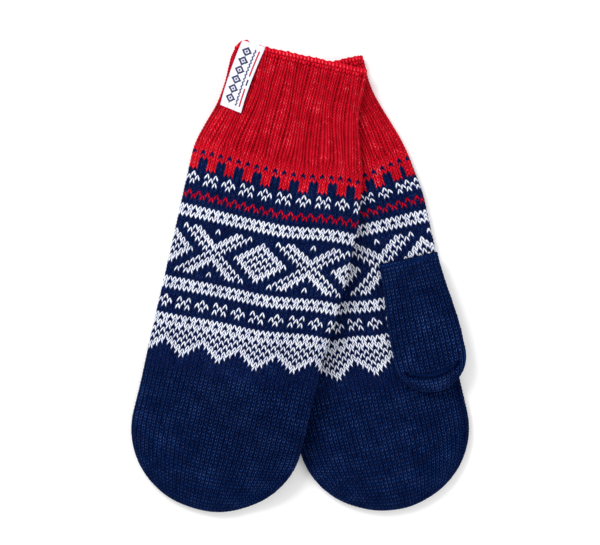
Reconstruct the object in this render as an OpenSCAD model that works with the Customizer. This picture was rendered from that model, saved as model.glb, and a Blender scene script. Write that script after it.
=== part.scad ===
// A pair of knitted mittens lying flat, one over the other, cuffs up and fingertips splayed.
// Left mitten: underneath, palm up, its thumb lying on the palm. Right mitten: on top, palm down,
// its thumb tucked out of sight between the two. Millimetres, +Z up, floor at z = 0.
// Every fabric shell is swept from rounded flat sections. A place on a mitten is given by v, the
// distance from the cuff's edge towards the fingertips, by u, from -1 at the outer fold to 1 at the
// thumb's fold, and by its depth under the outer surface.

/* [Mitten] */
// Length of the right mitten from cuff edge to fingertip
right_length = 270; // [264:1:276]
// Length of the left mitten from cuff edge to fingertip
left_length = 262; // [256:1:268]
// Half the width of the hand, lying flat
hand_half = 50.3; // [49:0.1:52]
// Half the width of the right cuff at its edge
right_cuff_half = 39.3; // [38:0.1:41]
// Half the width of the left cuff at its edge
left_cuff_half = 36.8; // [36:0.1:40]
// Length of the ribbed cuff
cuff_length = 62.6; // [60:0.2:65]
// Where the patterned band ends and the plain hand begins
band_end = 190; // [186:1:194]
// Length of the rounded end of the hand
tip_length = 48; // [44:1:52]
// Thickness of a mitten lying flat
thickness = 9.4; // [9.2:0.1:10]
// Extra width of the palm beside the thumb
palm_swell = 3; // [1:0.5:4]

/* [Fabric] */
// Thickness of the knitted wall
wall = 2; // [1.8:0.1:2.2]
// Thickness of the patterned face over its carried yarns
face = 1.3; // [1.1:0.1:1.4]
// Depth of the cast-on roll along the cuff
roll = 2.4; // [2:0.1:3]
// Thickness of the folded label's leaf
label_thickness = 0.45; // [0.4:0.05:0.6]

/* [Thumb] */
// Distance of the thumb's root from the cuff edge
thumb_root = 119.6; // [118:0.2:122]
// Distance of the thumb's middle from the mitten's middle line
thumb_offset = 36.6; // [35:0.2:38]
// Length of the thumb
thumb_length = 81; // [78:1:84]
// Half the width of the thumb at its root
thumb_root_half = 17.5; // [16:0.5:18]
// Half the width of the thumb at its widest
thumb_half = 21; // [19:0.5:22]
// Thickness of the thumb lying flat
thumb_thickness = 7.6; // [7.4:0.1:8]
// Thickness of the thumb's wall
thumb_wall = 1.3; // [1.1:0.1:1.4]
// How far the hidden right thumb is tucked inwards
thumb_tuck = 9; // [8:1:10]
// How far the right thumb swings outwards from there
thumb_swing = 34; // [30:1:36]

/* [Label] */
// Width of the woven label
label_width = 13.6; // [12:0.2:14.4]
// Length of the label's outer leaf
label_length = 38.5; // [34:0.5:40]
// Length of the leaf folded into the cuff
label_inner = 14; // [10:1:18]
// Distance of the label's middle from the mitten's middle line
label_offset = 33.4; // [31:0.2:34]
// How far the label leans towards that line from its hem to the cuff's edge
label_lean = 4.8; // [0:0.2:5]

/* [Lie] */
// Angle of each mitten from the middle line of the pair
splay = 12.4; // [11:0.2:13]
// Sideways bow of each mitten at its tip
bow = 1.8; // [0:0.2:3]
// Clearance between fabric surfaces that lie on each other
gap = 0.4; // [0.4:0.1:0.6]
// Width over which the upper mitten slopes down beside the lower one
drape_run = 38; // [34:1:44]

/* [Hidden] */
LEFT = 0;
RIGHT = 1;

red = "#c8102e";
navy = "#0f2350";
white = "#f2f2f4";
tail_grey = "#26365e";

// Middles of the two cuff edges on the floor plan
cuff_middle = [[1, 120.75], [0.7, 127.85]];
lengths = [left_length, right_length];
cuff_halves = [left_cuff_half, right_cuff_half];
// The cuff starts to widen here, and reaches the hand's width at flare_end
flare_starts = [11, 22];
flare_end = 68;
side_of = [1, -1];

around = 40;
thumb_around = 28;
// Squareness of the sections: 2 is an ellipse, more is flatter with tighter folds
fold_power = 6;
thumb_power = 4;
floor_press = 1.08;
// Shares of a rounded end at which its rings lie
tip_shares = [0.26, 0.5, 0.7, 0.85, 0.94, 0.985];

// Slit in the palm that the thumb grows from
slit_start = 106.5;
slit_end = 115.5;
slit_cells = [3, 7];

rise_mitten = thickness + gap;
rise_thumb = thumb_thickness + gap;
thumb_tip = 22;
// The thumb is this much thinner each way at its root, where the seam lies round it
root_pinch = 0.3;
thumb_floor = thickness + gap;
drape_margin = 4;

// Depths under a wall's outer surface between which seams and yarn ends lie, from its inner face
thread_depth = [0.1, 0.8];
// Distances from the fingertip between which the closing seam lies, and the same for the thumb
tip_seam_from = [10.4, 12];
thumb_seam_from = [9.5, 11];
// Each yarn end: where it starts and ends along the mitten, and its place across
tail_places = [[90, 66, -0.3], [221, 205, -0.45]];
tail_width = 0.03;
// Space between the label and the knitting
label_space = 0.25;

function smooth(t) = let(c = min(1, max(0, t))) c * c * (3 - 2 * c);
function dot2(a, b) = a[0] * b[0] + a[1] * b[1];

// Unit vectors on the floor plan, towards the fingertips and towards the thumb's side
function along(m) = [side_of[m] * sin(splay), -cos(splay)];
function across(m) = [cos(splay), side_of[m] * sin(splay)];

// Half width of a mitten at v, on the thumb's side (side 1) or the other side (side -1)
function half_width(m, v, side) =
    cuff_halves[m]
    + (hand_half - cuff_halves[m]) * smooth((v - flare_starts[m]) / (flare_end - flare_starts[m]))
    + (side > 0 ? palm_swell * smooth((v - 60) / 30) * (1 - smooth((v - 130) / 50)) : 0);

// Height of a section at u, from 0 at the folds to 1 over the middle
function fold(u, power) = sqrt(max(0, 1 - pow(abs(u), power)));

function tip_start(m) = lengths[m] - tip_length;
function tip_ratio(m, v) = max(0, (v - tip_start(m)) / tip_length);
function middle_shift(m, v) = side_of[m] * bow * pow(v / lengths[m], 2);

// Where the upper mitten lies on the lower one: 1 on it, 0 where it has reached the floor
function over_mitten(p) =
    let(q = p - cuff_middle[LEFT])
    let(v = min(tip_start(LEFT), max(0, dot2(q, along(LEFT)))))
    let(outside = -dot2(q, across(LEFT)) - half_width(LEFT, v, -1) + middle_shift(LEFT, v))
    1 - smooth((outside - drape_margin) / drape_run);

// Where the upper mitten lies on its own thumb, at any angle of the thumb's swing
function over_thumb(p) =
    let(q = p - cuff_middle[RIGHT])
    let(r = [dot2(q, across(RIGHT)) - thumb_offset, dot2(q, along(RIGHT)) - thumb_root])
    let(angle = min(thumb_swing - thumb_tuck, max(-thumb_tuck, atan2(r[0], r[1]))))
    let(reach = min(thumb_length - thumb_half, max(0, r[0] * sin(angle) + r[1] * cos(angle))))
    let(outside = norm(r - reach * [sin(angle), cos(angle)]) - thumb_half - 1)
    1 - smooth(outside / drape_run);

// How far the upper mitten is lifted off the floor at a point of the floor plan
function lift(p) =
    let(a = over_mitten(p))
    let(b = over_thumb(p))
    rise_mitten * (1 - (1 - a) * (1 - b)) + rise_thumb * b;

function lift_of(m, p) = m == RIGHT ? lift(p) : 0;

// A point of a mitten: u across, face_side 1 on top or -1 underneath, v along, depth under the surface
function mitten_point(m, u, face_side, v, depth) =
    let(t = tip_ratio(m, v))
    let(half = (half_width(m, v, u) - depth) * sqrt(max(0, 1 - t * t)))
    let(rise = (thickness / 2 - depth) * fold(t, fold_power) * fold(u, fold_power))
    let(drop = min(rise * floor_press, (thickness / 2 - depth) * fold(t, fold_power)))
    let(reach = t > 0 ? tip_start(m) + t * (tip_length - depth) : v)
    let(p = cuff_middle[m] + reach * along(m) + (middle_shift(m, v) + u * half) * across(m))
    [p[0], p[1], lift_of(m, p) + thickness / 2 + (face_side > 0 ? rise : -drop)];

function mitten_ring(m, v, depth) = [
    for (j = [0:around - 1])
        let(a = 360 * j / around)
        mitten_point(m, cos(a), sin(a) >= 0 ? 1 : -1, v, depth)
];

// A point of a thumb: u across, face_side, w along from the root, depth under the surface
function thumb_reach(w) = max(0, (w - thumb_length + thumb_tip) / thumb_tip);
function thumb_point(m, u, face_side, w, depth) =
    let(t = thumb_reach(w))
    let(widest = thumb_root_half + (thumb_half - thumb_root_half) * smooth(w / 50))
    let(half = (widest - depth) * sqrt(max(0, 1 - t * t)))
    let(full = thumb_thickness / 2 - root_pinch * (1 - smooth(w / 10)) - depth)
    let(rise = full * fold(t, 3) * fold(u, thumb_power))
    let(reach = t > 0 ? thumb_length - thumb_tip + t * (thumb_tip - depth) : w)
    let(turn = m == RIGHT ? -thumb_tuck : 0)
    let(root = cuff_middle[m] + thumb_root * along(m) + thumb_offset * across(m))
    let(ahead = along(m) * cos(turn) + across(m) * sin(turn))
    let(aside = across(m) * cos(turn) - along(m) * sin(turn))
    let(p = root + reach * ahead + u * half * aside)
    [p[0], p[1], thumb_floor + thumb_thickness / 2 + face_side * rise];

function thumb_ring(m, w, depth) = [
    for (j = [0:thumb_around - 1])
        let(a = 360 * j / thumb_around)
        thumb_point(m, cos(a), sin(a) >= 0 ? 1 : -1, w, depth)
];

// Two triangles between rows i and k of a grid with n columns, at column j
function cell(i, k, j, n) =
    let(l = (j + 1) % n)
    [[i * n + j, k * n + l, i * n + l], [i * n + j, k * n + j, k * n + l]];

// The same cell cut along its other diagonal
function cell_across(i, k, j, n) =
    let(l = (j + 1) % n)
    [[i * n + j, k * n + j, i * n + l], [k * n + j, k * n + l, i * n + l]];

// Closed solid through a loop of rings, with the cells of skip left open and walled
// Both halves of the loop cut their cells along the same diagonal, so that nested shells meet exactly
// skip is [first row, last row, first column, last column] of the outer half of the loop
module tube_loop(rings, skip = []) {
    n = len(rings[0]);
    m = len(rings);
    open = len(skip) > 0;
    function out(i, j) = !open || i < skip[0] || i > skip[1] || j < skip[2] || j > skip[3];
    function mate(i) = m - 1 - i;
    function kept(i, j) = out(i, j) && out(mate(i) - 1, j);
    walls = !open ? [] : [
        for (j = [skip[2]:skip[3]])
            each [
                [skip[0] * n + j, mate(skip[0]) * n + j + 1, skip[0] * n + j + 1],
                [skip[0] * n + j, mate(skip[0]) * n + j, mate(skip[0]) * n + j + 1],
                [(skip[1] + 1) * n + j, (skip[1] + 1) * n + j + 1, mate(skip[1] + 1) * n + j + 1],
                [(skip[1] + 1) * n + j, mate(skip[1] + 1) * n + j + 1, mate(skip[1] + 1) * n + j]
            ],
        for (i = [skip[0]:skip[1]])
            each [
                [i * n + skip[2], (i + 1) * n + skip[2], mate(i + 1) * n + skip[2]],
                [i * n + skip[2], mate(i + 1) * n + skip[2], mate(i) * n + skip[2]],
                [i * n + skip[3] + 1, mate(i + 1) * n + skip[3] + 1, (i + 1) * n + skip[3] + 1],
                [i * n + skip[3] + 1, mate(i) * n + skip[3] + 1, mate(i + 1) * n + skip[3] + 1]
            ]
    ];
    faces = [
        for (i = [0:m - 1], j = [0:n - 1])
            if (kept(i, j))
                each i < m / 2 ? cell(i, (i + 1) % m, j, n) : cell_across(i, (i + 1) % m, j, n)
    ];
    polyhedron([for (r = rings) each r], concat(faces, walls));
}

// Closed pocket: rings from the outer tip down to the mouth and back up to the inner tip
module pocket(rings, outer_tip, inner_tip) {
    n = len(rings[0]);
    m = len(rings);
    points = concat([for (r = rings) each r], [outer_tip, inner_tip]);
    sides = [for (i = [0:m - 2], j = [0:n - 1]) each cell(i + 1, i, j, n)];
    caps = [
        for (j = [0:n - 1])
            let(l = (j + 1) % n)
            each [[m * n, l, j], [m * n + 1, (m - 1) * n + j, (m - 1) * n + l]]
    ];
    polyhedron(points, concat(sides, caps));
}

// Closed strip between an upper grid and a lower grid of points
module strip(upper, lower) {
    rows = len(upper);
    n = len(upper[0]);
    base = rows * n;
    skin = [
        for (i = [0:rows - 2], j = [0:n - 2])
            let(a = i * n + j)
            let(b = a + n)
            each [
                [a, b + 1, a + 1],
                [a, b, b + 1],
                [base + a, base + a + 1, base + b + 1],
                [base + a, base + b + 1, base + b]
            ]
    ];
    rim = concat(
        [for (j = [0:n - 1]) j],
        [for (i = [1:rows - 1]) i * n + n - 1],
        [for (j = [1:n - 1]) rows * n - 1 - j],
        [for (i = [1:rows - 2]) (rows - 1 - i) * n]
    );
    edge = [
        for (k = [0:len(rim) - 1])
            let(a = rim[k])
            let(b = rim[(k + 1) % len(rim)])
            each [[a, b, base + b], [a, base + b, base + a]]
    ];
    polyhedron([for (r = concat(upper, lower)) each r], concat(skin, edge));
}

cuff_rows = [roll, 12, 22, 32, 42, 50, 56, cuff_length];
band_rows = [cuff_length, 74, 84, 95, slit_start, slit_end, 126, 138, 150, 163, 176, band_end];
function hand_rows(m) = [for (k = [0:3]) band_end + (tip_start(m) - band_end) * k / 3];
function fingertip_rows(m) = [for (t = concat([0], tip_shares)) tip_start(m) + t * tip_length];

// Cells left open for the thumb: on the palm, which is the upper face of the left mitten
function slit(m) =
    let(first = m == LEFT ? slit_cells[0] : around - 1 - slit_cells[1])
    [4, 4, first, first + slit_cells[1] - slit_cells[0]];

function reversed(list) = [for (i = [len(list) - 1:-1:0]) list[i]];

// Rings up the outside at one depth and back down the inside at another
function shell_rings(m, rows, outer, inner) = concat(
    [for (v = rows) mitten_ring(m, v, outer)],
    [for (v = reversed(rows)) mitten_ring(m, v, inner)]
);

module cuff(m) {
    color(red) tube_loop(shell_rings(m, cuff_rows, 0, wall));
}

// The cast-on roll is a rounded lip in line with the cuff
module cuff_edge(m) {
    profile = [[0, 0.5], [roll / 4, 0.1], [roll, 0], [roll, wall], [roll / 4, wall - 0.1], [0, wall - 0.5]];
    color(red) tube_loop([for (p = profile) mitten_ring(m, p[0], p[1])]);
}

module pattern_band(m) {
    color(navy) tube_loop(shell_rings(m, band_rows, 0, face), slit(m));
}

module float_lining(m) {
    color(white) tube_loop(shell_rings(m, band_rows, face, wall), slit(m));
}

module hand(m) {
    color(navy) tube_loop(shell_rings(m, hand_rows(m), 0, wall));
}

module fingertips(m) {
    rows = fingertip_rows(m);
    rings = concat(
        [for (v = reversed(rows)) mitten_ring(m, v, 0)],
        [for (v = rows) mitten_ring(m, v, wall)]
    );
    end = lengths[m];
    color(navy) pocket(
        rings,
        mitten_point(m, 0, 1, end, 0),
        mitten_point(m, 0, 1, end, wall)
    );
}

// Upper or lower surface of a thread that lies on the inner face, over places u and v
function thread_grid(m, u, v, side) =
    [for (a = v) [for (b = u) mitten_point(m, b, 1, a, wall + thread_depth[side])]];

// Linked closing seam, a low ridge inside the rounded end
module tip_seam(m) {
    v = [for (d = tip_seam_from) lengths[m] - d];
    u = [for (k = [-6:6]) k / 10];
    color(navy) strip(thread_grid(m, u, v, 0), thread_grid(m, u, v, 1));
}

// Two darned-in yarn ends on the inner face, one at the colour change and one near the tip
module yarn_tails(m) {
    color(tail_grey)
        for (place = tail_places) {
            v = [for (k = [0:4]) place[0] + (place[1] - place[0]) * k / 4];
            u = [place[2], place[2] + tail_width];
            strip(thread_grid(m, u, v, 0), thread_grid(m, u, v, 1));
        }
}

thumb_rows = [0, 10, 22, 34, 46, thumb_length - thumb_tip];

module thumb(m) {
    rows = concat(thumb_rows, [for (t = tip_shares) thumb_length - thumb_tip + t * thumb_tip]);
    rings = concat(
        [for (w = reversed(rows)) thumb_ring(m, w, 0)],
        [for (w = rows) thumb_ring(m, w, thumb_wall)]
    );
    color(navy) pocket(
        rings,
        thumb_point(m, 0, 1, thumb_length, 0),
        thumb_point(m, 0, 1, thumb_length, thumb_wall)
    );
}

// Linked seam across the palm side of the thumb, just above its end
module thumb_tip_seam(m) {
    w = [for (d = thumb_seam_from) thumb_length - d];
    u = [for (k = [-6:6]) k / 10];
    palm = m == LEFT ? 1 : -1;
    far = [for (a = w) [for (b = u) thumb_point(m, b, palm, a, -0.35)]];
    near = [for (a = w) [for (b = u) thumb_point(m, b, palm, a, -0.05)]];
    color(navy)
        if (m == LEFT) strip(far, near);
        else strip(near, far);
}

// Seam round the thumb's root, where it is joined to the slit in the palm
module thumb_root_seam(m) {
    profile = [[0.2, -0.3], [1.6, -0.27], [1.6, -0.07], [0.2, -0.07]];
    color(navy) tube_loop([for (p = profile) thumb_ring(m, p[0], p[1])]);
}

// Folded label: each path is a list of [v, depth] over the cuff's edge and back inside it
module label() {
    t = label_thickness;
    near = label_space;
    far_path = [
        [label_length, -near - t], [30, -near - t], [21, -near - t], [13, -near - t],
        [6, -near - t], [0.5, -near - t],
        [-near - t, 0.1], [-near - t, wall - 0.1], [0.5, wall + near + t],
        [label_inner, wall + near + t]
    ];
    near_path = [
        [label_length, -near], [30, -near], [21, -near], [13, -near],
        [6, -near], [1, -near],
        [-near, 0.4], [-near, wall - 0.4], [1, wall + near],
        [label_inner, wall + near]
    ];
    color(white) strip(
        [for (p = far_path) label_row(p)],
        [for (p = near_path) label_row(p)]
    );
}

function label_middle(v) =
    -label_offset + label_lean * pow(min(1, max(0, 1 - v / label_length)), 1.6);

function label_row(p) = [
    for (k = [-4:4])
        let(s = label_middle(p[1] > wall / 2 ? 0 : p[0]) + k * label_width / 8)
        mitten_point(RIGHT, s / (half_width(RIGHT, p[0], -1) - p[1]), 1, p[0], p[1])
];

// Row of tacking stitches along the label's lower hem
module label_stitches() {
    ends = [label_length - 1.6, label_length - 2.2];
    color(white)
        for (k = [-2:2]) strip(stitch_rows(ends, k, -1.05), stitch_rows(ends, k, -0.76));
}

function stitch_rows(ends, k, depth) = [
    for (a = ends) [
        for (e = [-0.65, 0.65])
            let(s = label_middle(a) + k * label_width / 5.5 + e)
            mitten_point(RIGHT, s / (half_width(RIGHT, a, -1) - depth), 1, a, depth)
    ]
];

cuff(LEFT);  // left_cuff
cuff_edge(LEFT);  // left_cuff_edge
pattern_band(LEFT);  // left_pattern_band
float_lining(LEFT);  // left_float_lining
hand(LEFT);  // left_hand
fingertips(LEFT);  // left_fingertips
tip_seam(LEFT);  // left_tip_seam
yarn_tails(LEFT);  // left_yarn_tails
thumb(LEFT);  // left_thumb
thumb_tip_seam(LEFT);  // left_thumb_tip_seam
thumb_root_seam(LEFT);  // left_thumb_root_seam
cuff(RIGHT);  // right_cuff
cuff_edge(RIGHT);  // right_cuff_edge
pattern_band(RIGHT);  // right_pattern_band
float_lining(RIGHT);  // right_float_lining
hand(RIGHT);  // right_hand
fingertips(RIGHT);  // right_fingertips
tip_seam(RIGHT);  // right_tip_seam
yarn_tails(RIGHT);  // right_yarn_tails
thumb(RIGHT);  // right_thumb
thumb_tip_seam(RIGHT);  // right_thumb_tip_seam
thumb_root_seam(RIGHT);  // right_thumb_root_seam
label();
label_stitches();
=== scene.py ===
"""A pair of knitted mittens: every stitch is modelled on the surface that the CAD frame gives."""
import math

import bpy
import numpy as np
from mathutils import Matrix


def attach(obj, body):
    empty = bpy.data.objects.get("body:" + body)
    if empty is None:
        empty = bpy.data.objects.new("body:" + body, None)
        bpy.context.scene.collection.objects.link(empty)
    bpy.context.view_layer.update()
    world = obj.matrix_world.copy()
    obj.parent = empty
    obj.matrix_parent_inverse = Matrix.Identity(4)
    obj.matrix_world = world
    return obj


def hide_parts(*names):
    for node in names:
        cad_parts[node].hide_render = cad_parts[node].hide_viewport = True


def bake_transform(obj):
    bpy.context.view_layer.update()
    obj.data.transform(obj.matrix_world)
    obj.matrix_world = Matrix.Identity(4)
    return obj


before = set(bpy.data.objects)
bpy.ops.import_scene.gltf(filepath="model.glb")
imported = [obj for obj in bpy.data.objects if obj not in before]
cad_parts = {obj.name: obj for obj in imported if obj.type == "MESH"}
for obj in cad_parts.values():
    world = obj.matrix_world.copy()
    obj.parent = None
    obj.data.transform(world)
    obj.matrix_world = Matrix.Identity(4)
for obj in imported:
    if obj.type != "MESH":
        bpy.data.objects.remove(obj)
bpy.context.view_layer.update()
rng = np.random.default_rng(7)

LEFT, RIGHT = 0, 1
SIDE = (1.0, -1.0)
MM = 0.001

# ---------------------------------------------------------------- sizes, millimetres, as in the CAD
SPLAY = math.radians(12.4)
LENGTH = (262.0, 270.0)
CUFF_HALF = (36.8, 39.3)
FLARE_START = (11.0, 22.0)
FLARE_END = 68.0
HAND_HALF = 50.3
SWELL = 3.0
TIP = 48.0
THICK = 9.4
WALL = 2.0
BOW = 1.8
FOLD_POWER = 6
FLOOR_PRESS = 1.08
GAP = 0.4
MIDDLE = (np.array([1.0, 120.75]), np.array([0.7, 127.85]))
THUMB_ROOT, THUMB_OFFSET, THUMB_LENGTH = 119.6, 36.6, 81.0
THUMB_ROOT_HALF, THUMB_HALF, THUMB_THICK, THUMB_TIP = 17.5, 21.0, 7.6, 22.0
THUMB_TUCK, THUMB_SWING, THUMB_POWER = 9.0, 34.0, 4
ROOT_THICK = 0.9
RISE_MITTEN, RISE_THUMB = THICK + GAP, THUMB_THICK + GAP
DRAPE_RUN, DRAPE_MARGIN = 38.0, 4.0

# ---------------------------------------------------------------- knitting
AROUND = 76            # stitches round a mitten
THUMB_AROUND = 30
ROW = 2.07             # height of a row
RIB_ROW = 1.89         # height of a row of the ribbing
ROW0 = 66.4            # place of row 0, the first row of the colour pattern
SHEAR = 0.95           # rows that a stitch's legs run down from its middle to its edges
STEPS = 4              # samples along a row
THUMB_START = 0.5      # place of a thumb's first row, from the root
THUMB_TIP_ROW = round((THUMB_LENGTH - THUMB_TIP - THUMB_START) / ROW)
THUMB_ROWS = THUMB_TIP_ROW + 11
ACROSS_SEEN = np.array([-3, -2, -1, 0, 1, 2]) / 6
ACROSS_HIDDEN = np.array([-3, -1, 1]) / 6
NAVY, WHITE, RED, RED_LINE = 0, 1, 2, 3


def from_middle(stitch, around):
    """Columns from the middle of the face that a stitch is on, towards the thumb."""
    half = around // 2
    return np.where(stitch <= half, around // 4 - stitch, stitch - half - (half + 1) // 2)


def smooth(t):
    c = np.clip(t, 0.0, 1.0)
    return c * c * (3 - 2 * c)


def along(m):
    return np.array([SIDE[m] * math.sin(SPLAY), -math.cos(SPLAY)])


def across(m):
    return np.array([math.cos(SPLAY), SIDE[m] * math.sin(SPLAY)])


def half_width(m, v, u):
    half = CUFF_HALF[m] + (HAND_HALF - CUFF_HALF[m]) * smooth((v - FLARE_START[m]) / (FLARE_END - FLARE_START[m]))
    swell = SWELL * smooth((v - 60) / 30) * (1 - smooth((v - 130) / 50))
    return half + np.where(u > 0, swell, 0.0)


def fold(u, power):
    return np.sqrt(np.maximum(0.0, 1 - np.abs(u) ** power))


def over_mitten(p):
    q = p - MIDDLE[LEFT]
    v = np.clip(q @ along(LEFT), 0, LENGTH[LEFT] - TIP)
    shift = SIDE[LEFT] * BOW * (v / LENGTH[LEFT]) ** 2
    outside = -(q @ across(LEFT)) - half_width(LEFT, v, -np.ones_like(v)) + shift
    return 1 - smooth((outside - DRAPE_MARGIN) / DRAPE_RUN)


def over_thumb(p):
    q = p - MIDDLE[RIGHT]
    r = np.stack([q @ across(RIGHT) - THUMB_OFFSET, q @ along(RIGHT) - THUMB_ROOT], -1)
    angle = np.clip(np.arctan2(r[..., 0], r[..., 1]), -math.radians(THUMB_TUCK), math.radians(THUMB_SWING - THUMB_TUCK))
    ray = np.stack([np.sin(angle), np.cos(angle)], -1)
    reach = np.clip((r * ray).sum(-1), 0, THUMB_LENGTH - THUMB_HALF)
    outside = np.linalg.norm(r - reach[..., None] * ray, axis=-1) - THUMB_HALF - 1
    return 1 - smooth(outside / DRAPE_RUN)


def lift(p):
    a, b = over_mitten(p), over_thumb(p)
    return RISE_MITTEN * (1 - (1 - a) * (1 - b)) + RISE_THUMB * b


def mitten_point(m, u, face, v, t, reach, depth):
    """Points of a mitten: u across, face 1 on top or -1 underneath, v along, t into the rounded end."""
    half = (half_width(m, v, u) - depth) * np.sqrt(np.maximum(0, 1 - t * t))
    full = (THICK / 2 - depth) * fold(t, FOLD_POWER)
    rise = full * fold(u, FOLD_POWER)
    drop = np.minimum(rise * FLOOR_PRESS, full)
    shift = SIDE[m] * BOW * (v / LENGTH[m]) ** 2
    p = MIDDLE[m] + reach[..., None] * along(m) + (shift + u * half)[..., None] * across(m)
    z = THICK / 2 + np.where(face > 0, rise, -drop)
    if m == RIGHT:
        z = z + lift(p)
    return np.concatenate([p, z[..., None]], -1)


def arc_table(half, thick, power):
    """u at equal steps of length over the top of a section, from the fold at u = 1 to the one at u = -1."""
    u = np.cos(np.linspace(0, math.pi, 4001))
    z = thick / 2 * fold(u, power)
    s = np.concatenate([[0], np.cumsum(np.hypot(np.diff(u * half), np.diff(z)))])
    return s / s[-1], u


ARC = arc_table(51.0, THICK, FOLD_POWER)
THUMB_ARC = arc_table(20.5, THUMB_THICK, THUMB_POWER)


def place_round(c, around, table):
    """u and face at perimeter places c, which run over the top face first."""
    c = np.mod(c, around)
    top = c <= around / 2
    share = np.where(top, c, around - c) / (around / 2)
    return np.interp(share, table[0], table[1]), np.where(top, 1.0, -1.0)


def row_curve(m, u, v):
    """How far the rows of the colour pattern have slipped along the mitten."""
    if m == RIGHT:
        side = -4.0 * smooth((u - 0.12) / 0.75) + (-2 + 3.9 * (v - 66) / 100) * smooth((-u - 0.1) / 0.9)
    else:
        side = (-2.7 * smooth((v - 70) / 25) * (1 - smooth((v - 112) / 22)) * smooth((u + 0.4) / 0.5)
                - 4.8 * (1 - smooth((v - 60) / 50)) * smooth((u - 0.35) / 0.65)
                - 2.5 * smooth((0.2 - u) / 0.35) * smooth((v - 120) / 20))
    return side * smooth(v / 60) * (1 - smooth((v - 192) / 25))


def edge_rise(m, u, v):
    """How far the upper mitten's cuff edge stands out beside its outer fold, and is drawn in at the fold."""
    corner = 3.0 * smooth((-u - 0.92) / 0.08) - 1.5 * np.exp(-((u + 0.86) / 0.09) ** 2)
    return corner * (1 - smooth(v / 10)) * (m == RIGHT)


TIP_ROW = tuple(round((LENGTH[m] - TIP - ROW0) / ROW) for m in (LEFT, RIGHT))
END_ROW = tuple(TIP_ROW[m] + 23 for m in (LEFT, RIGHT))
SLIP = (-2.85, 0.8)     # stitches that the pattern's middle lies from the mitten's


def mitten_surface(m, c, s, depth):
    """Points at perimeter places c and rows s."""
    u, face = place_round(c - SLIP[m], AROUND, ARC)
    start = ROW0 + ROW * TIP_ROW[m]
    end = LENGTH[m]
    share = np.clip((s - TIP_ROW[m]) / (END_ROW[m] - TIP_ROW[m]), 0, 1)
    knitted = ROW0 + np.where(s < -1, RIB_ROW * (s + 1) - ROW, ROW * s)
    v = np.where(s <= TIP_ROW[m], knitted, start + share * (end - start))
    v = v + row_curve(m, u, v) + edge_rise(m, u, v)
    x = u * np.sqrt(1 - share * share / 2)
    y = share * np.sqrt(1 - u * u / 2)
    inner = np.sqrt(np.maximum(1e-9, 1 - y * y))
    u = np.where(share > 0, np.clip(x / inner, -1, 1), u)
    reach = np.where(share > 0, start + y * (end - start - depth), v)
    return mitten_point(m, u, face, np.where(share > 0, start + y * (end - start), v), y, reach, depth)


def thumb_surface(m, c, s, depth):
    """Points of a thumb: its root lies flat on the palm and it fills out towards its end."""
    u, face = place_round(c, THUMB_AROUND, THUMB_ARC)
    start = THUMB_LENGTH - THUMB_TIP
    w = THUMB_START + ROW * s
    share = np.clip((s - THUMB_TIP_ROW) / (THUMB_ROWS - THUMB_TIP_ROW), 0, 1)
    x = u * np.sqrt(1 - share * share / 2)
    y = share * np.sqrt(1 - u * u / 2)
    u = np.where(share > 0, np.clip(x / np.sqrt(np.maximum(1e-9, 1 - y * y)), -1, 1), u)
    w = np.where(share > 0, start + y * (THUMB_LENGTH - 1.2 - start - depth), w)
    widest = THUMB_ROOT_HALF + (THUMB_HALF - THUMB_ROOT_HALF) * smooth(w / 50)
    half = (widest - depth) * np.sqrt(np.maximum(0, 1 - y * y))
    thick = ROOT_THICK + (THUMB_THICK - ROOT_THICK) * smooth((w - THUMB_START) / 18)
    full = np.maximum(0.05, thick / 2 - depth * np.minimum(1, thick / THUMB_THICK))
    rise = full * fold(y, 3) * fold(u, THUMB_POWER)
    if m == LEFT:
        z = RISE_MITTEN + thick / 2 + face * rise
    else:
        z = RISE_MITTEN + THUMB_THICK - thick / 2 - face * rise
    turn = math.radians(-THUMB_TUCK) if m == RIGHT else 0.0
    ahead = along(m) * math.cos(turn) + across(m) * math.sin(turn)
    aside = across(m) * math.cos(turn) - along(m) * math.sin(turn)
    root = MIDDLE[m] + THUMB_ROOT * along(m) + THUMB_OFFSET * across(m)
    p = root + w[..., None] * ahead + (u * half)[..., None] * aside
    return np.concatenate([p, z[..., None]], -1)


# ---------------------------------------------------------------- the colour chart
def chart(dx, r):
    """Colour of the stitch dx columns from a face's middle in row r. A repeat is 20 columns."""
    checker = (r + dx) % 2 == 0
    odd = dx % 2 == 1
    out = np.full(np.broadcast(dx, r).shape, NAVY)
    out[(r < 2) & ~((r == 0) & odd)] = RED
    out[(r >= 2) & (r <= 4) & ((dx % 4 == 1) | (dx % 4 == 2))] = RED
    for first in (6, 40):
        cross = (dx + 2) % 8 - 4
        ring = (dx - 2) % 8 - 4
        edge = (r == first) | (r == first + 2)
        out[(edge & (np.abs(cross) == 1)) | ((r == first + 1) & (cross == 0))] = WHITE
        out[(edge & (ring == 0)) | ((r == first + 1) & (np.abs(ring) == 1))] = WHITE
    out[((r == 11) & ~odd) | ((r == 12) & odd)] = RED_LINE
    for first in (15, 35, 45):
        out[(r == first) | (r == first + 2) | ((r == first + 1) & odd)] = WHITE
    high = np.abs(r - 26)
    lozenge = np.abs((dx + 10) % 20 - 10) + high
    out[(lozenge <= 5) & ((lozenge >= 4) | (lozenge % 2 == 0))] = WHITE
    arm = np.abs(dx % 20 - 10)
    big_cross = (arm == high + 1) | (arm == high - 1) | (arm == high - 2) | ((arm == 0) & (high == 6))
    out[big_cross & (high <= 6)] = WHITE
    peak = np.abs(dx % 8 - 4)
    out[(r >= 48) & (r < 54 - peak) & checker] = WHITE
    out[(r == 54 - peak) | (r == 55 - peak)] = WHITE
    return out


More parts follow.
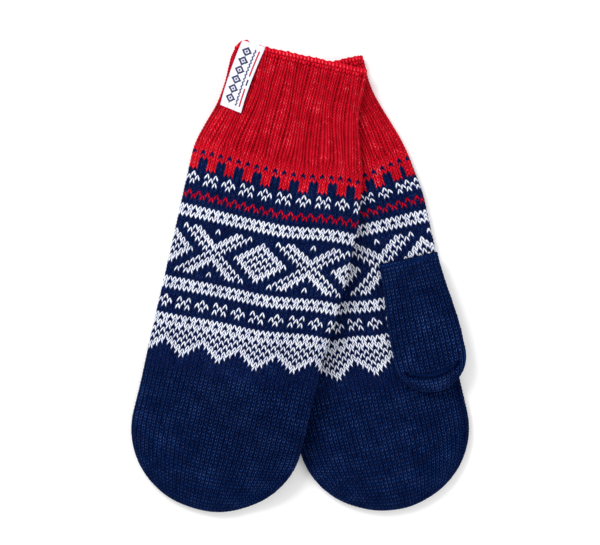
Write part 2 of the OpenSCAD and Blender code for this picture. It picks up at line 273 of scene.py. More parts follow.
# ---------------------------------------------------------------- one stitch
def stitch_height(x, y):
    """Height over a stitch, 0 to 1: two legs that meet at its middle, with a hole below where they meet."""
    strand = np.sin(math.pi * np.clip(y, 0, 1)) ** 0.6
    legs = 0.86 + 0.14 * np.sin(math.pi * np.clip(2 * np.abs(x), 0, 1)) - 0.28 * (2 * np.abs(x)) ** 6
    hole = np.exp(-(x / 0.17) ** 2) * smooth((y - 0.2) / 0.35)
    return np.clip((0.10 + 0.90 * strand) * legs - 0.8 * hole, 0, 1)


def perimeter(around):
    """Columns of samples: their stitch and place in it. The seen face has more samples."""
    stitch, x = [], []
    for k in range(around):
        samples = ACROSS_SEEN if k <= around // 2 else ACROSS_HIDDEN
        stitch += [k] * len(samples)
        x += list(samples)
    return np.array(stitch), np.array(x)


# ---------------------------------------------------------------- meshes
def build(name, points, faces, materials, face_material, attributes):
    """A mesh object from points in millimetres. faces are quads, and attributes hold a value for each point."""
    mesh = bpy.data.meshes.new(name)
    n, k = len(points), len(faces)
    mesh.vertices.add(n)
    mesh.vertices.foreach_set("co", (points * MM).astype(np.float32).ravel())
    mesh.loops.add(k * 4)
    mesh.loops.foreach_set("vertex_index", faces.astype(np.int32).ravel())
    mesh.polygons.add(k)
    mesh.polygons.foreach_set("loop_start", np.arange(0, 4 * k, 4, dtype=np.int32))
    for material in materials:
        mesh.materials.append(material)
    if face_material is not None:
        mesh.polygons.foreach_set("material_index", face_material.astype(np.int32))
    mesh.polygons.foreach_set("use_smooth", np.ones(k, bool))
    mesh.update(calc_edges=True)
    for key, values in attributes.items():
        layer = mesh.attributes.new(key, "FLOAT", "POINT")
        layer.data.foreach_set("value", values.astype(np.float32))
    obj = bpy.data.objects.new(name, mesh)
    bpy.context.scene.collection.objects.link(obj)
    return obj


def grid_faces(rows, columns, base, flip, closed=True):
    i = np.arange(rows - 1)[:, None]
    j = np.arange(columns if closed else columns - 1)[None, :]
    l = (j + 1) % columns
    a, b = base + i * columns + j, base + i * columns + l
    c, d = base + (i + 1) * columns + l, base + (i + 1) * columns + j
    quads = np.stack([a, b, c, d] if not flip else [a, d, c, b], -1)
    return quads.reshape(-1, 4)


def tube_faces(rows, inner_rows, columns, outside=True):
    """Quads of a double-walled tube whose first wall is its outer one, or its inner one if outside is False."""
    base = rows * columns
    j = np.arange(columns)
    l = (j + 1) % columns
    tail, in_tail = (rows - 1) * columns, base + (inner_rows - 1) * columns
    quads = np.concatenate([
        grid_faces(rows, columns, 0, True), grid_faces(inner_rows, columns, base, False),
        np.stack([j, l, base + l, base + j], -1),
        np.stack([tail + j, in_tail + j, in_tail + l, tail + l], -1)])
    return quads if outside else quads[:, [0, 3, 2, 1]]


def shell(name, surface, m, around, first, last, colours, materials, inner_depth, proud=0.55, ribs=False,
          start_fade=False, end_fade=False, extra=None, pressed=False, contrast=1.0):
    """A knitted shell: stitches outside, a smoother inner face, joined at both ends."""
    stitch, x = perimeter(around)
    s = np.arange(first * STEPS, last * STEPS + 1) / STEPS
    row = np.floor(s + 1e-6)
    y = s - row
    columns = len(stitch)
    X, Y = np.broadcast_arrays(x[None, :], y[:, None])
    S = np.broadcast_to(s[:, None], X.shape)
    K = np.broadcast_to(stitch[None, :], X.shape)
    jitter = rng.normal(0, 1, (int(last - first) + 1, around))
    own = jitter[(row - first).astype(int)[:, None], stitch[None, :]]
    side = rng.normal(0, 1, (int(last - first) + 1, around))[(row - first).astype(int)[:, None], stitch[None, :]]
    calm = np.clip(np.minimum(S - first, last - S), 0, 1)
    own, side = own * calm, side * calm
    height = stitch_height(X, Y)
    shear = SHEAR * (2 * np.abs(X)) ** 1.45
    place = K + X + 0.035 * side * (np.abs(X) < 0.45)
    sunk = 0.0
    if ribs:
        # two knit columns and a narrow purl one; the odd column is on the hidden side
        kind = np.where(K == around - 1, 3, K % 3)
        knit = kind != 2
        blend = 1 - smooth((S + 4.4) / 3.4)
        turn = 2 * math.pi * (K + X) / around
        wave = 0.20 * np.sin(9 * turn + S * 0.21) + 0.16 * np.sin(5 * turn - S * 0.13 + 1)
        ribbed = np.choose(kind, [K - 0.19 + X * 1.38, K + 0.19 + X * 1.38, K + X * 0.24, K - 0.38 + X]) + wave
        place = place * (1 - blend) + ribbed * blend
        outward = np.choose(kind, [-2 * X, 2 * X, 0 * X, 0 * X])
        valley = np.where(knit, 0.5 * np.clip(outward, 0, 1) ** 2.5, 0.5 + 0.45 * np.cos(math.pi * X))
        purl = 0.35 + 0.65 * np.sin(math.pi * np.mod(Y + 0.5, 1.0)) ** 0.8
        # painted shade: dark lines down the middle and along the edges of each knit column
        lines = np.exp(-(X / 0.12) ** 2) + (2 * np.abs(X)) ** 8
        height = np.where(knit, height * (1 - 0.4 * blend * lines), height * (1 - blend) + 0.5 * purl * blend)
        shear = shear * (1 - blend) + blend * np.where(knit, 1.3 * shear, 1.3 * SHEAR)
        sunk = blend * valley
    depth = 0.45 - proud * height * (1 + 0.10 * own) + sunk
    # painted shade in the sunk rib valleys
    height = height * (1 - 0.24 * sunk)
    if end_fade:
        shear = shear * np.clip((last - S) / 2.0, 0, 1)
    if start_fade:
        shear = shear * np.clip((S - first) / 1.5, 0, 1)
    reach = np.minimum(S + shear, last) if end_fade else S + shear
    slow = 0.22 * (np.sin(place * 0.37 + reach * 0.19) + np.sin(place * 0.21 - reach * 0.13 + 2.0)) / 2
    if extra is not None:
        more, darker = extra(place, reach)
        height = height * darker
        if not ribs:
            depth = depth + more
    depth = depth + slow
    # no stitch stands out from the hidden face, and by 0.33 mm at most from the seen one
    depth = np.maximum(depth, np.where(pressed | (K > around // 2), 0.05, -0.33))
    if ribs:
        depth = depth + more
    outer = surface(m, place, reach, depth)
    # inner face: one row of samples for every second row of stitches
    rs = np.append(np.arange(0, len(s) - STEPS, 2 * STEPS), len(s) - 1)
    inner = surface(m, place[rs], reach[rs], np.full(place[rs].shape, inner_depth) + 0.12 * np.cos(2 * math.pi * X[rs]))
    points = np.concatenate([outer.reshape(-1, 3), inner.reshape(-1, 3)])
    faces = tube_faces(len(s), len(rs), columns)
    face_row = np.repeat(row[:-1], columns)
    face_stitch = np.tile(stitch, len(s) - 1)
    out_colour = colours(from_middle(face_stitch, around), face_row.astype(int))
    in_row = np.repeat(first + rs[:-1] // STEPS, columns)
    in_colour = colours(from_middle(np.tile(stitch, len(rs) - 1), around), in_row)
    end_colour = np.concatenate([out_colour[:columns], out_colour[-columns:]])
    face_material = np.concatenate([out_colour, in_colour, end_colour])
    # yarn coordinates of the outer face: across the leg, and along it
    leg = np.abs(X) * 2.7 + 2.1 * Y
    # level paints shade and highlight: the stitch height sets the colour, darker in the hollows between the yarns and
    # lighter on their tops, and contrast deepens the painted shade; the inner face gets a flat level
    level = np.concatenate([np.clip(height, 0, 1).ravel() ** contrast, np.full(inner[..., 0].size, 0.5)])
    strand = np.concatenate([(leg * np.where(X < 0, -1, 1) + 0.7 * own).ravel(), inner[..., 0].ravel()])
    tone = np.concatenate([own.ravel(), np.zeros(inner[..., 0].size)])
    return build(name, points, faces, materials, face_material, {"level": level, "strand": strand, "tone": tone})


# ---------------------------------------------------------------- materials
def node_tree(name):
    material = bpy.data.materials.new(name)
    material.use_nodes = True
    nodes, links = material.node_tree.nodes, material.node_tree.links
    return material, nodes, links, nodes["Principled BSDF"]


def srgb(r, g, b):
    def one(c):
        c = c / 255
        return c / 12.92 if c <= 0.04045 else ((c + 0.055) / 1.055) ** 2.4
    return (one(r), one(g), one(b), 1.0)


def wool(name, deep, mid, light, sheen, sheen_tint, fuzz=None, fuzz_amount=0.0, mid_at=0.85, uneven=0.05):
    """Yarn: painted shade between the strands and painted highlight on top of them, set by the stitch level, with spun
    fibres, flecks and a soft halo.
    """
    material, nodes, links, shader = node_tree(name)
    level = nodes.new("ShaderNodeAttribute")
    level.attribute_name = "level"
    tone = nodes.new("ShaderNodeAttribute")
    tone.attribute_name = "tone"
    strand = nodes.new("ShaderNodeAttribute")
    strand.attribute_name = "strand"
    where = nodes.new("ShaderNodeTexCoord")
    fibre = nodes.new("ShaderNodeTexNoise")
    fibre.inputs["Scale"].default_value = 2600
    fibre.inputs["Detail"].default_value = 4
    fibre.inputs["Roughness"].default_value = 0.65
    links.new(where.outputs["Object"], fibre.inputs["Vector"])
    cloud = nodes.new("ShaderNodeTexNoise")
    cloud.inputs["Scale"].default_value = 90
    cloud.inputs["Detail"].default_value = 3
    links.new(where.outputs["Object"], cloud.inputs["Vector"])
    # level, which paints shade between the strands and highlight on their tops, plus a little of every noise picks the
    # colour
    total = nodes.new("ShaderNodeMath")
    total.operation = "MULTIPLY_ADD"
    total.inputs[1].default_value = 0.55
    links.new(fibre.outputs["Fac"], total.inputs[0])
    links.new(level.outputs["Fac"], total.inputs[2])
    total2 = nodes.new("ShaderNodeMath")
    total2.operation = "MULTIPLY_ADD"
    total2.inputs[1].default_value = 0.35
    links.new(cloud.outputs["Fac"], total2.inputs[0])
    links.new(total.outputs[0], total2.inputs[2])
    total3 = nodes.new("ShaderNodeMath")
    total3.operation = "MULTIPLY_ADD"
    total3.inputs[1].default_value = uneven
    links.new(tone.outputs["Fac"], total3.inputs[0])
    links.new(total2.outputs[0], total3.inputs[2])
    # the ramp runs from deep, the painted shade between the strands, through mid, the yarn's own colour, to light, the
    # painted highlight on the strand tops
    ramp = nodes.new("ShaderNodeValToRGB")
    ramp.color_ramp.elements[0].position = 0.42
    ramp.color_ramp.elements[0].color = deep
    ramp.color_ramp.elements[1].position = 1.0
    ramp.color_ramp.elements[1].color = mid
    top = ramp.color_ramp.elements.new(1.0)
    ramp.color_ramp.elements[1].position = mid_at
    ramp.color_ramp.elements[1].color = mid
    top.position = 1.0
    top.color = light
    scale = nodes.new("ShaderNodeMath")
    scale.operation = "MULTIPLY"
    scale.inputs[1].default_value = 0.66
    links.new(total3.outputs[0], scale.inputs[0])
    links.new(scale.outputs[0], ramp.inputs["Fac"])
    colour = ramp.outputs["Color"]
    if fuzz is not None:
        stray = nodes.new("ShaderNodeTexNoise")
        stray.inputs["Scale"].default_value = 1500
        stray.inputs["Detail"].default_value = 2
        links.new(where.outputs["Object"], stray.inputs["Vector"])
        pick = nodes.new("ShaderNodeMapRange")
        pick.inputs["From Min"].default_value = 0.52
        pick.inputs["From Max"].default_value = 0.75
        pick.inputs["To Max"].default_value = fuzz_amount
        links.new(stray.outputs["Fac"], pick.inputs["Value"])
        mix = nodes.new("ShaderNodeMix")
        mix.data_type = "RGBA"
        links.new(pick.outputs["Result"], mix.inputs["Factor"])
        links.new(colour, mix.inputs["A"])
        mix.inputs["B"].default_value = fuzz
        colour = mix.outputs["Result"]
    links.new(colour, shader.inputs["Base Color"])
    # plies twist round the strand
    twist = nodes.new("ShaderNodeMath")
    twist.operation = "MULTIPLY"
    twist.inputs[1].default_value = 7.0
    links.new(strand.outputs["Fac"], twist.inputs[0])
    ply = nodes.new("ShaderNodeMath")
    ply.operation = "SINE"
    links.new(twist.outputs[0], ply.inputs[0])
    height = nodes.new("ShaderNodeMath")
    height.operation = "MULTIPLY_ADD"
    height.inputs[1].default_value = 0.25
    links.new(ply.outputs[0], height.inputs[0])
    links.new(fibre.outputs["Fac"], height.inputs[2])
    bump = nodes.new("ShaderNodeBump")
    bump.inputs["Strength"].default_value = 0.55
    bump.inputs["Distance"].default_value = 0.00035
    links.new(height.outputs[0], bump.inputs["Height"])
    links.new(bump.outputs["Normal"], shader.inputs["Normal"])
    rough = nodes.new("ShaderNodeMapRange")
    rough.inputs["To Min"].default_value = 0.78
    rough.inputs["To Max"].default_value = 0.95
    links.new(fibre.outputs["Fac"], rough.inputs["Value"])
    links.new(rough.outputs["Result"], shader.inputs["Roughness"])
    shader.inputs["Specular IOR Level"].default_value = 0.10
    shader.inputs["Specular Tint"].default_value = light
    shader.inputs["Sheen Weight"].default_value = sheen
    shader.inputs["Sheen Roughness"].default_value = 0.55
    shader.inputs["Sheen Tint"].default_value = sheen_tint
    return material


navy_wool = wool("navy_wool", srgb(0, 0, 20), srgb(8, 32, 82), srgb(92, 126, 190), 0.02, srgb(40, 80, 190),
                 srgb(60, 88, 150), 0.15, mid_at=0.74, uneven=0.03)
band_navy = wool("band_navy_wool", srgb(0, 0, 22), srgb(8, 29, 78), srgb(56, 86, 150), 0.02, srgb(40, 80, 190),
                 srgb(130, 148, 214), 0.08, mid_at=0.88, uneven=0.04)
# the white yarn's deep colour is navy: partly the navy yarn seen between the white legs, partly painted shade
white_wool = wool("white_wool", srgb(18, 26, 76), srgb(232, 237, 254), srgb(255, 255, 255), 0.06, srgb(255, 255, 255),
                  mid_at=0.72)
red_wool = wool("red_wool", srgb(112, 0, 8), srgb(232, 20, 44), srgb(255, 128, 140), 0.05, srgb(255, 120, 120),
                mid_at=0.86)
seam_navy = wool("navy_seam_yarn", srgb(0, 6, 34), srgb(2, 20, 60), srgb(18, 40, 92), 0.02, srgb(40, 80, 190))
tail_yarn = wool("yarn_ends", srgb(10, 18, 50), srgb(30, 44, 88), srgb(70, 86, 140), 0.05, srgb(120, 140, 200))
band_red = wool("band_red_wool", srgb(60, 0, 26), srgb(202, 8, 38), srgb(236, 66, 88), 0.05, srgb(255, 120, 120),
                srgb(70, 16, 80), 0.14, mid_at=0.86, uneven=0.05)
FABRIC = [band_navy, white_wool, red_wool, band_red]
PLAIN = [navy_wool]
REDS = [red_wool]


def plain(dx, r):
    return np.zeros(np.broadcast(dx, r).shape, int)


# ---------------------------------------------------------------- the mittens
SIDES = ("left", "right")
BODY = ("left_mitten", "right_mitten")


def cuff_fullness(m):
    """The worn cuff bulges a little at its outer fold."""
    def more(place, reach):
        u, face = place_round(place - SLIP[m], AROUND, ARC)
        bulge = smooth((-u - 0.88) / 0.1) * smooth((reach + 35) / 6) * (1 - smooth((reach + 21) / 9))
        return -1.1 * bulge * (m == RIGHT), 1.0
    return more


def thumb_groove(place, reach):
    """The closing seam near the thumb's end: a curved groove across its palm side, above a rolled lip. The groove gets
    painted shade and the lip a slight painted highlight.
    """
    half = THUMB_AROUND / 4
    off = (place - half) * 2.6
    middle = THUMB_TIP_ROW + 5.9 - (off / 15.5) ** 2 * 1.6
    near = np.exp(-((reach - middle) / 0.55) ** 2) * (1 - smooth((np.abs(off) - 12.5) / 4))
    lip = np.exp(-((reach - middle - 2.4) / 1.4) ** 2) * (1 - smooth((np.abs(off) - 13) / 5))
    # painted shade darkens the groove and a painted highlight lifts the lip, through the stitch level
    return 2.2 * near - 0.7 * lip, (1 - near) * (1 + 0.05 * lip)


def cast_on(name, m):
    """The edge of a cuff: a rounded lip of twisted cast-on loops, two to each rib."""
    stitch, x = perimeter(AROUND)
    place = (stitch + x)[None, :]
    wobble = 0.5 + 0.3 * np.sin(place * 0.83 + m) + 0.2 * np.sin(place * 2.1 + 2)
    loop = np.abs(np.cos(math.pi * (place + 0.25))) ** 0.7
    valley = 0.5 + 0.5 * np.cos(math.pi * place)
    profile = np.array([(2.75, 0.75, 0.1, 0.0), (2.0, 0.35, 0.5, 0.15), (1.3, 0.15, 1.0, 0.35), (0.6, 0.25, 1.0, 0.7),
                        (0.1, 0.6, 0.9, 1.0), (-0.1, 1.05, 0.8, 1.0), (0.1, 1.5, 0.9, 1.0), (0.7, 1.8, 0.7, 0.6),
                        (1.5, 1.9, 0.5, 0.3), (2.75, 1.6, 0.1, 0.0)])
    v, depth, bump, out = (profile[:, i][:, None] for i in range(4))
    twist = np.sin(2 * math.pi * (place + v * 0.35))
    v = v - out * (0.25 + 0.75 * loop * wobble) * 0.85
    inward = np.where(depth < 1.1, 1, -1)
    depth = depth + inward * bump * (0.30 - 0.30 * loop - 0.12 * twist) + inward * 0.45 * (1 - valley) * (1 - out)
    u, face = place_round(np.broadcast_to(place - SLIP[m], v.shape), AROUND, ARC)
    depth = np.where(face < 0, np.maximum(depth, 0.05), depth)
    v = v + edge_rise(m, u, v) - 0.55 * np.abs(np.cos(math.pi * place / 2 + 0.6)) * out
    points = mitten_point(m, u, face, np.maximum(v, 0), np.zeros(v.shape), v, depth)
    rows, columns = u.shape
    # level paints shade: darker between the loops and where the lip turns into the ribs
    level = (0.25 + 0.75 * loop * (0.75 + 0.25 * twist)) * (0.55 + 0.45 * bump)
    faces = np.concatenate([
        grid_faces(rows, columns, 0, False),
        np.stack([(rows - 1) * columns + np.arange(columns), (rows - 1) * columns + (np.arange(columns) + 1) % columns,
                  (np.arange(columns) + 1) % columns, np.arange(columns)], -1)])
    return build(name, points.reshape(-1, 3), faces, REDS, None,
                 {"level": level.ravel(), "strand": (place * 2.8 + v).ravel(), "tone": (wobble + 0 * v - 0.5).ravel()})


def lining(name, m):
    """The back of the colour pattern: purl bumps, and the floats of the yarn that isn't knitted there."""
    s = np.arange(-4, 60 * 4 + 1) / 4
    place = np.arange(AROUND * 2) / 2
    S, P = np.meshgrid(s, place, indexing="ij")
    row = np.floor(S + 1e-6)
    y = S - row
    float_over = (y > 0.4) & (y < 0.9)
    hop = 0.5 + 0.5 * np.cos(math.pi * (P * 2 + row))
    depth = 1.72 + 0.18 * np.sin(2 * math.pi * y) ** 2 + 0.08 * hop * ~float_over
    reach = S + np.where(float_over, 0.12 * np.sin(P * 0.9 + row), 0)
    near = mitten_surface(m, P, reach, depth)
    far = mitten_surface(m, P, reach, np.full(P.shape, 1.5))
    far = far[::4]
    columns = len(place)
    faces = tube_faces(near.shape[0], far.shape[0], columns, outside=False)
    dx = from_middle(np.floor(place).astype(int), AROUND)[None, :]
    r = row[:-1, 0].astype(int)[:, None]
    own = chart(dx, r)
    every = np.stack([(chart(np.arange(40)[None, :], r) == k).any(1) for k in (NAVY, WHITE, RED, RED_LINE)], 1)
    red = every[:, 2] | every[:, 3]
    second = np.where(every[:, 1], WHITE, np.where(red & every[:, 0], RED, NAVY))[:, None]
    other = np.where(own == NAVY, second, np.where(every[:, :1], NAVY, own))
    colour = np.where((y[:-1] > 0.3) & (y[:-1] < 0.8), other, own)
    face_material = np.concatenate([colour.ravel(), np.zeros(len(faces) - colour.size, int)])
    # level paints shade: darker between the rows of purl bumps and floats
    level = np.concatenate([(0.25 + 0.75 * np.sin(2 * math.pi * y) ** 2).ravel(), np.full(far[..., 0].size, 0.3)])
    zeros = np.zeros(len(level))
    strand = np.concatenate([(P * 2.8).ravel(), far[..., 0].ravel()])
    return build(name, np.concatenate([near.reshape(-1, 3), far.reshape(-1, 3)]), faces, FABRIC, face_material,
                 {"level": level, "strand": strand, "tone": zeros})


def thread(path, radius, turns):
    """A two-ply yarn along a path of points in millimetres: its points, quads and level."""
    path = np.asarray(path, float)
    step = np.linalg.norm(np.diff(path, axis=0), axis=1)
    along_it = np.concatenate([[0], np.cumsum(step)])
    count = max(4, int(along_it[-1] / (radius * 0.9)))
    t = np.linspace(0, along_it[-1], count)
    path = np.stack([np.interp(t, along_it, path[:, k]) for k in range(3)], -1)
    ahead = np.gradient(path, axis=0)
    ahead /= np.linalg.norm(ahead, axis=1, keepdims=True)
    up = np.array([0.0, 0.0, 1.0]) - ahead[:, 2:] * ahead
    up /= np.maximum(1e-6, np.linalg.norm(up, axis=1, keepdims=True))
    aside = np.cross(ahead, up)
    angle = np.arange(8) / 8 * 2 * math.pi
    ply = 0.78 + 0.22 * np.abs(np.cos(angle[None, :] + t[:, None] * turns))
    taper = np.sqrt(np.clip(np.minimum(t, t[-1] - t) / radius, 0.05, 1))[:, None]
    r = radius * ply * taper
    points = (path[:, None, :] + (r * np.cos(angle))[..., None] * aside[:, None, :]
              + (r * np.sin(angle))[..., None] * up[:, None, :])
    faces = grid_faces(len(path), 8, 0, True)
    ends = []
    for row, order in ((0, [0, 1, 2, 3, 4, 5, 6, 7]), (len(path) - 1, [7, 6, 5, 4, 3, 2, 1, 0])):
        o = [row * 8 + k for k in order]
        ends += [[o[0], o[1], o[6], o[7]], [o[1], o[2], o[5], o[6]], [o[2], o[3], o[4], o[5]]]
    # the level paints shade between the plies
    return points.reshape(-1, 3), np.concatenate([faces, np.array(ends)]), (ply ** 3 * np.ones(r.shape)).ravel()


def threads(name, paths, radius, turns, material):
    """Several yarns in one piece."""
    points, faces, level, base = [], [], [], 0
    for path in paths:
        p, f, h = thread(path, radius, turns)
        points.append(p)
        faces.append(f + base)
        level.append(h)
        base += len(p)
    level = np.concatenate(level)
    points = np.concatenate(points)
    return build(name, points, np.concatenate(faces), [material], None,
                 {"level": level, "strand": points[:, 0] + points[:, 1], "tone": np.zeros(len(level))})


def on_mitten(m, u, v, depth):
    u, v = np.broadcast_arrays(np.asarray(u, float), np.asarray(v, float))
    depth = depth + np.zeros(u.shape)
    start, end = LENGTH[m] - TIP, LENGTH[m]
    t = np.clip((v - start) / TIP, 0, 1)
    return mitten_point(m, u, np.ones(u.shape), v, t, np.where(t > 0, start + t * (TIP - depth), v), depth)


def on_thumb(m, place, row, depth):
    place, row = np.broadcast_arrays(np.asarray(place, float), np.asarray(row, float))
    return thumb_surface(m, place, row, depth + np.zeros(place.shape))


def bend_at_root(obj):
    """Bakes the object's transform into its mesh."""
    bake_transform(obj)


for m in (LEFT, RIGHT):
    name = SIDES[m]
    cuff = shell(name + "_cuff_knit", mitten_surface, m, AROUND, -34, -1, plain, REDS, WALL, ribs=True,
                 start_fade=True, extra=cuff_fullness(m))
    band = shell(name + "_band_knit", mitten_surface, m, AROUND, -1, 60, chart, FABRIC, 1.3)
    hand = shell(name + "_hand_knit", mitten_surface, m, AROUND, 60, END_ROW[m], plain, PLAIN, WALL, end_fade=True,
                 proud=0.5, contrast=2.2)
    edge = cast_on(name + "_cast_on", m)
    floats = lining(name + "_floats", m)
    for piece, nodes, slot in ((cuff, ["_cuff"], "red_rib_wool"), (band, ["_pattern_band"], "patterned_wool"),
                               (hand, ["_hand", "_fingertips"], "navy_wool"),
                               (edge, ["_cuff_edge"], "red_rib_wool"), (floats, ["_float_lining"], "carried_yarn")):
        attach(piece, BODY[m])
        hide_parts(*[name + node for node in nodes])
    thumb = shell(name + "_thumb_knit", thumb_surface, m, THUMB_AROUND, 0, THUMB_ROWS, plain, PLAIN, 1.3,
                  start_fade=True, end_fade=True, extra=thumb_groove, pressed=m == RIGHT, contrast=2.2)
    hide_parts(name + "_thumb")
    bend_at_root(thumb)

for m in (LEFT, RIGHT):
    name = SIDES[m]
    # whipped closing seam inside the rounded end
    k = np.arange(0, 97)
    tip = threads(name + "_tip_whipping", [on_mitten(m, (k - 48) / 80, LENGTH[m] - 11.2 + 0.8 * np.sin(k * math.pi / 2),
                                                     WALL + 0.45)], 0.33, 3.0, seam_navy)
    # darned-in yarn ends
    k = np.linspace(0, 1, 25)
    ends = threads(name + "_darned_ends",
                   [on_mitten(m, -0.285 + 0.004 * np.sin(k * 30), 90 - 24 * k, WALL + 0.45),
                    on_mitten(m, -0.435 + 0.004 * np.sin(k * 26), 221 - 16 * k, WALL + 0.45)], 0.4, 2.2, tail_yarn)
    for piece, node, slot in ((tip, "_tip_seam", "navy_seam_yarn"), (ends, "_yarn_tails", "yarn_ends")):
        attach(piece, BODY[m])
        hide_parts(name + node)
    # short slanted stitches across the thumb's closing groove
    places = np.linspace(-4.6, 4.6, 12)
    closing = threads(
        name + "_thumb_whipping",
        [on_thumb(m, THUMB_AROUND / 4 + a + np.array([-0.16, -0.05, 0.05, 0.16]),
                  THUMB_TIP_ROW + 6.2 - (a * 2.6 / 15.5) ** 2 * 1.3 + np.array([-0.55, -0.2, 0.2, 0.55]), 0.95)
         for a in places], 0.26, 3.0, seam_navy)
    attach(closing, name + "_thumb")
    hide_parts(name + "_thumb_tip_seam")
    # seam round the thumb's root
    around = np.arange(0, 241) / 240 * THUMB_AROUND
    lap = threads(name + "_root_whipping",
                  [on_thumb(m, around, 0.55 + 0.32 * np.sin(around * 2 * math.pi), 0.25)], 0.22, 3.0, seam_navy)
    bend_at_root(lap)
    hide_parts(name + "_thumb_root_seam")

# ---------------------------------------------------------------- the folded label
LABEL_LENGTH, LABEL_INNER, LABEL_THICK, LABEL_NEAR = 38.6, 14.0, 0.42, 0.3
LABEL_HALF = 6.9
WEFT = 0.26            # spacing of the label's weft


def label_place(a, v):
    """Where a point of the label, a millimetres from its middle line, lies across and along the cuff."""
    middle = -33.4 + 4.8 * np.clip(1 - v / LABEL_LENGTH, 0, 1) ** 1.6
    return middle + a * (1 - 0.07 * np.clip(v, 0, 40) / 40), v + 0.17 * a * smooth((v + 6) / 9)


def woven(name, base, thread_tint):
    """Woven ribbon: fine weft ridges with warp floats between them."""
    material, nodes, links, shader = node_tree(name)
    weave = nodes.new("ShaderNodeAttribute")
    weave.attribute_name = "level"
    grain = nodes.new("ShaderNodeTexNoise")
    grain.inputs["Scale"].default_value = 4200
    grain.inputs["Detail"].default_value = 3
    where = nodes.new("ShaderNodeTexCoord")
    links.new(where.outputs["Object"], grain.inputs["Vector"])
    total = nodes.new("ShaderNodeMath")
    total.operation = "MULTIPLY_ADD"
    total.inputs[1].default_value = 0.6
    links.new(grain.outputs["Fac"], total.inputs[0])
    links.new(weave.outputs["Fac"], total.inputs[2])
    ramp = nodes.new("ShaderNodeValToRGB")
    ramp.color_ramp.elements[0].position = 0.2
    ramp.color_ramp.elements[0].color = thread_tint
    ramp.color_ramp.elements[1].position = 0.75
    ramp.color_ramp.elements[1].color = base
    links.new(total.outputs[0], ramp.inputs["Fac"])
    links.new(ramp.outputs["Color"], shader.inputs["Base Color"])
    bump = nodes.new("ShaderNodeBump")
    bump.inputs["Strength"].default_value = 0.5
    bump.inputs["Distance"].default_value = 0.0001
    links.new(total.outputs[0], bump.inputs["Height"])
    links.new(bump.outputs["Normal"], shader.inputs["Normal"])
    rough = nodes.new("ShaderNodeMapRange")
    rough.inputs["To Min"].default_value = 0.45
    rough.inputs["To Max"].default_value = 0.7
    links.new(grain.outputs["Fac"], rough.inputs["Value"])
    links.new(rough.outputs["Result"], shader.inputs["Roughness"])
    shader.inputs["Sheen Weight"].default_value = 0.15
    return material


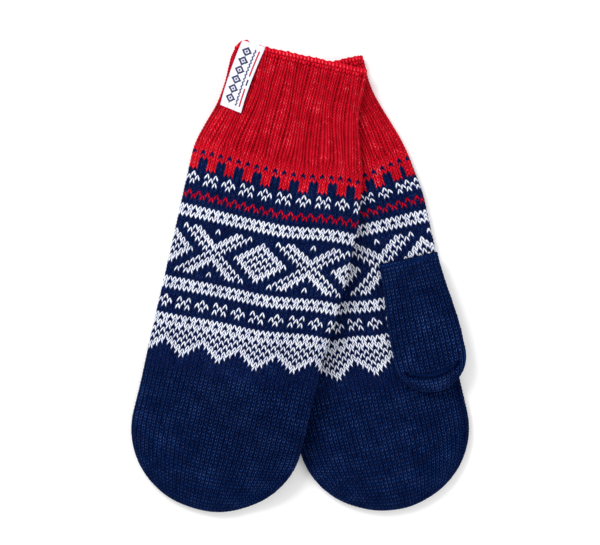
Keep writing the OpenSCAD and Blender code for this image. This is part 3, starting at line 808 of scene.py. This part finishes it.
def label():
    """A folded strip of ribbon over the cuff's edge, with a generic ornament: lozenges, a zigzag and a red line."""
    near = np.array([
        (LABEL_LENGTH, -LABEL_NEAR), (1.5, -LABEL_NEAR), (0.2, -0.1), (-0.75, 0.5), (-0.85, WALL / 2),
        (-0.75, WALL - 0.5), (0.2, WALL + 0.1), (1.5, WALL + LABEL_NEAR), (LABEL_INNER, WALL + LABEL_NEAR)])
    run = np.concatenate([[0], np.cumsum(np.hypot(*np.diff(near, axis=0).T))])
    t = np.linspace(0, run[-1], int(run[-1] / WEFT))
    v, depth = np.interp(t, run, near[:, 0]), np.interp(t, run, near[:, 1])
    dv, dd = np.gradient(v, t), np.gradient(depth, t)
    a = np.linspace(-LABEL_HALF, LABEL_HALF, 55)
    T, A = np.meshgrid(t, a, indexing="ij")
    sides = []
    for away in (LABEL_THICK, 0.0):
        V = v[:, None] - away * np.abs(dd)[:, None] * (np.abs(dv[:, None]) < 0.97) + 0 * A
        D = depth[:, None] - away * np.clip(-dv, -1, 1)[:, None]
        # the leaf lifts a little from the ribs at its hem and along its sides, and it ripples
        ripple = 0.16 * np.sin(V * 0.42 + 0.5) * (A / LABEL_HALF) + 0.22 * np.exp(-((V - LABEL_LENGTH) / 3.0) ** 2)
        ripple = ripple + 1.2 * smooth((A / LABEL_HALF - 0.45) / 0.55)
        D = D - np.abs(ripple) * np.clip(-dv, 0, 1)[:, None] * smooth(V / 6)
        # the inner leaf lies straight down from the cuff's edge
        inside = depth[:, None] > WALL / 2
        s, w = label_place(A, np.where(inside, 0, V))
        w = np.where(inside, V + 0.17 * A * smooth((6 - V) / 9), w)
        width = half_width(RIGHT, np.maximum(w, 0), -np.ones_like(w)) - D
        sides.append(mitten_point(RIGHT, np.clip(s / width, -0.999, 0.999), np.ones(s.shape), np.maximum(w, 0),
                                  np.zeros(s.shape), w, D))
    rows, columns = T.shape
    top = grid_faces(rows, columns, 0, False, closed=False)
    low = grid_faces(rows, columns, rows * columns, True, closed=False)
    b = rows * columns
    i, j = np.arange(rows - 1), np.arange(columns - 1)
    left = np.stack([i * columns, b + i * columns, b + (i + 1) * columns, (i + 1) * columns], -1)
    r = columns - 1
    right = np.stack([i * columns + r, (i + 1) * columns + r, b + (i + 1) * columns + r, b + i * columns + r], -1)
    hem = np.stack([j, j + 1, b + j + 1, b + j], -1)
    q = (rows - 1) * columns
    inner = np.stack([q + j, b + q + j, b + q + j + 1, q + j + 1], -1)
    faces = np.concatenate([top, low, left, right, hem, inner])
    # ornament, from the hem upwards
    tc, ac = (T[:-1, :-1] + T[1:, 1:]) / 2, (A[:-1, :-1] + A[1:, 1:]) / 2
    shown = (tc > 3.0) & (tc < LABEL_LENGTH - 2.0)
    along_motif = np.abs((tc - 3.2) % 5.6 - 2.8)
    off = np.abs(ac + 1.9)
    lozenge = along_motif / 2.75 + off / 3.1
    ink = np.zeros(tc.shape, int)
    ink[shown & (lozenge < 1.04) & (lozenge > 0.5)] = 1
    ink[shown & (lozenge < 0.26)] = 1
    zigzag = np.abs(ac - 2.2 - 0.8 * np.abs((tc * 0.9) % 2 - 1))
    ink[shown & (zigzag < 0.46)] = 1
    line = np.abs(ac - 4.9) < 0.45
    ink[shown & line] = 2
    ink[line & (np.abs(tc - 17.5) < 3.6)] = 0
    ink[line & (np.abs(tc - 17.5) < 1.9)] = 1
    face_material = np.concatenate([ink.ravel(), np.zeros(len(faces) - ink.size, int)])
    level = np.tile((0.35 + 0.35 * np.cos(T / WEFT * math.pi) + 0.15 * np.cos(A * 26)).ravel(), 2)
    points = np.concatenate([side.reshape(-1, 3) for side in sides])
    materials = [woven("label_fabric", srgb(232, 234, 247), srgb(188, 190, 212)),
                 woven("label_navy_thread", srgb(6, 14, 58), srgb(28, 40, 94)),
                 woven("label_red_thread", srgb(176, 0, 26), srgb(206, 30, 54))]
    return build("folded_label", points, faces, materials, face_material,
                 {"level": level, "strand": points[:, 0], "tone": np.zeros(len(points))}), t[-1]


def on_label(a, v, depth):
    s, w = label_place(np.asarray(a, float), np.asarray(v, float))
    depth = depth + np.zeros(s.shape)
    width = half_width(RIGHT, w, -np.ones_like(w)) - depth
    return mitten_point(RIGHT, np.clip(s / width, -0.999, 0.999), np.ones(s.shape), w, np.zeros(s.shape), w, depth)


tag, tag_length = label()
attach(tag, BODY[RIGHT])
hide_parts("label")
e = np.array([-0.7, -0.35, 0.0, 0.35, 0.7])
tacks = threads("label_tacking", [on_label(k * 2.5 + e, 37.0 + 0 * e, -1.22 + np.array([0.25, 0.05, 0, 0.05, 0.25]))
                                  for k in (-2, -1, 0, 1, 2)], 0.16, 6.0,
                woven("label_thread", srgb(240, 241, 248), srgb(190, 192, 208)))
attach(tacks, BODY[RIGHT])
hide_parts("label_stitches")

# ---------------------------------------------------------------- floor, light and camera
mesh = bpy.data.meshes.new("floor")
mesh.from_pydata([(-3, -3, 0), (3, -3, 0), (3, 3, 0), (-3, 3, 0)], [], [(0, 1, 2, 3)])
floor = bpy.data.objects.new("floor", mesh)
floor.location.z = -0.0004
bpy.context.scene.collection.objects.link(floor)
paper, nodes, links, shader = node_tree("paper")
shader.inputs["Base Color"].default_value = (0.93, 0.93, 0.93, 1)
shader.inputs["Roughness"].default_value = 1.0
shader.inputs["Specular IOR Level"].default_value = 0.0
shader.inputs["Emission Color"].default_value = (1, 1, 1, 1)
shader.inputs["Emission Strength"].default_value = 0.12
mesh.materials.append(paper)

world = bpy.data.worlds.new("world")
bpy.context.scene.world = world
world.use_nodes = True
world.node_tree.nodes["Background"].inputs["Color"].default_value = (1, 1, 1, 1)
world.node_tree.nodes["Background"].inputs["Strength"].default_value = 0.75


def area(name, place, size, power):
    light = bpy.data.lights.new(name, "AREA")
    light.size = size
    light.energy = power
    obj = bpy.data.objects.new(name, light)
    obj.location = place
    direction = -np.array(place)
    yaw = math.atan2(direction[0], -direction[1])
    pitch = math.atan2(math.hypot(direction[0], direction[1]), -direction[2])
    obj.rotation_euler = (pitch, 0, yaw + math.pi)
    bpy.context.scene.collection.objects.link(obj)


area("key", (-0.7, 0.8, 1.3), 0.7, 16)
area("fill", (0.9, -0.4, 1.2), 1.0, 5)

camera_data = bpy.data.cameras.new("camera")
SENSOR, DISTANCE, SEEN = 36, 2.0, 0.348     # sensor in mm; distance, and width seen there, in metres
camera_data.sensor_width = SENSOR
camera_data.lens = SENSOR * DISTANCE / SEEN
camera_data.clip_end = 20
camera = bpy.data.objects.new("camera", camera_data)
camera.location = (-0.00017, 0.00287, 2.010)
bpy.context.scene.collection.objects.link(camera)
bpy.context.scene.camera = camera
bpy.context.scene.view_settings.view_transform = "Standard"

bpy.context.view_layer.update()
